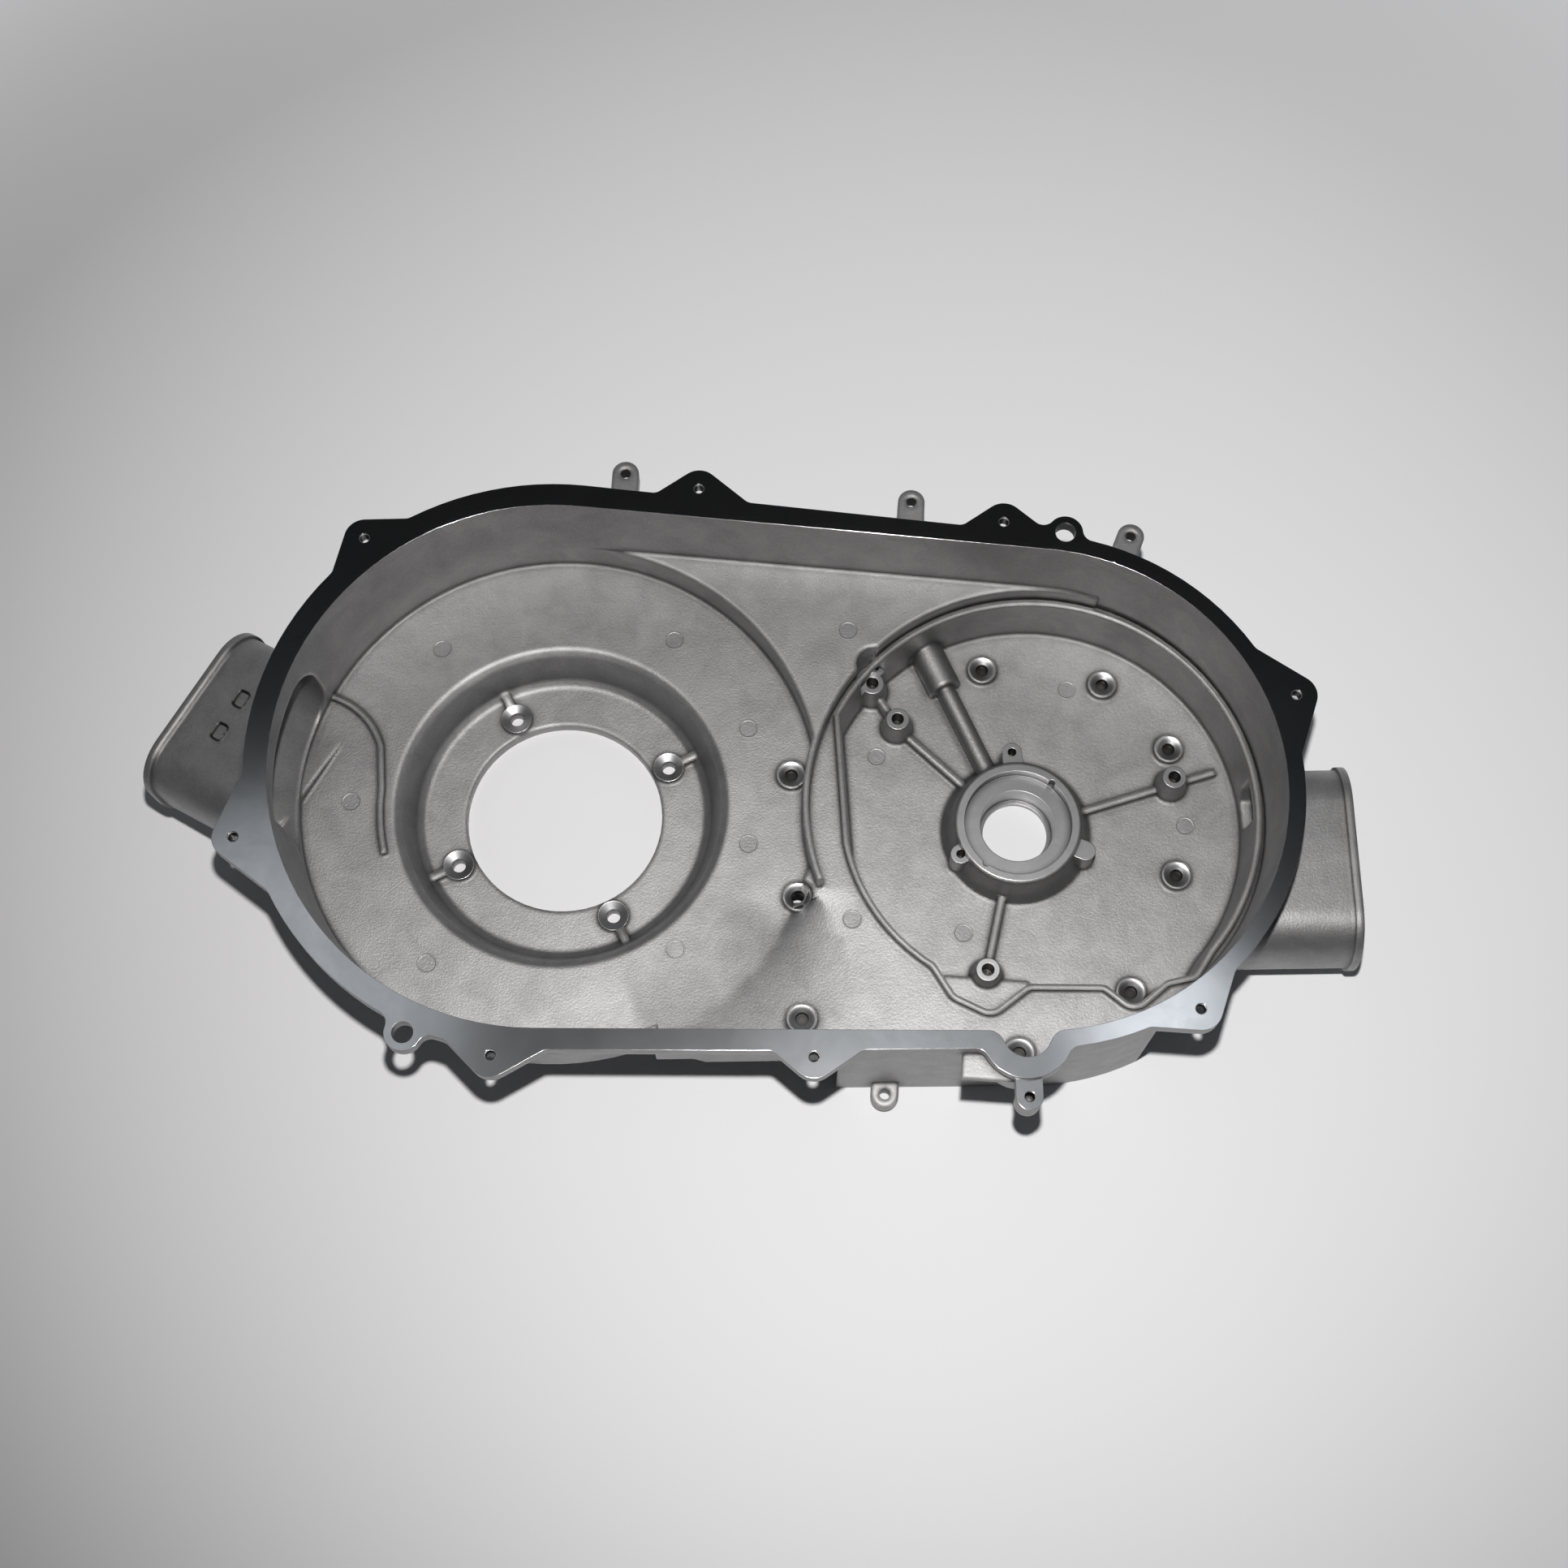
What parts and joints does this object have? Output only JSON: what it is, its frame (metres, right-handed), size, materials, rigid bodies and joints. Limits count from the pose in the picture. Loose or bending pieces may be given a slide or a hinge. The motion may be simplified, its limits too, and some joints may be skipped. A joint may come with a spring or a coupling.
{
  "type": "variator housing",
  "caption": "Open die-cast aluminium case for a belt variator, with a flanged rim, a crank opening, a driven shaft hub and an oval air duct at each end.",
  "frame": {"origin": "axis of the crank opening in the plane of the casting's back, on which it lies", "axes": "+X runs along the case towards the driven shaft and the outlet, +Z out of the open side, square to the joint face"},
  "size_m": [0.6188, 0.3375, 0.09],
  "materials": {
    "cast_aluminium": "as-cast, with machined joint face and bores"
  },
  "bodies": {
    "root": {"variator_housing": "cast_aluminium"}
  },
  "joints": []
}
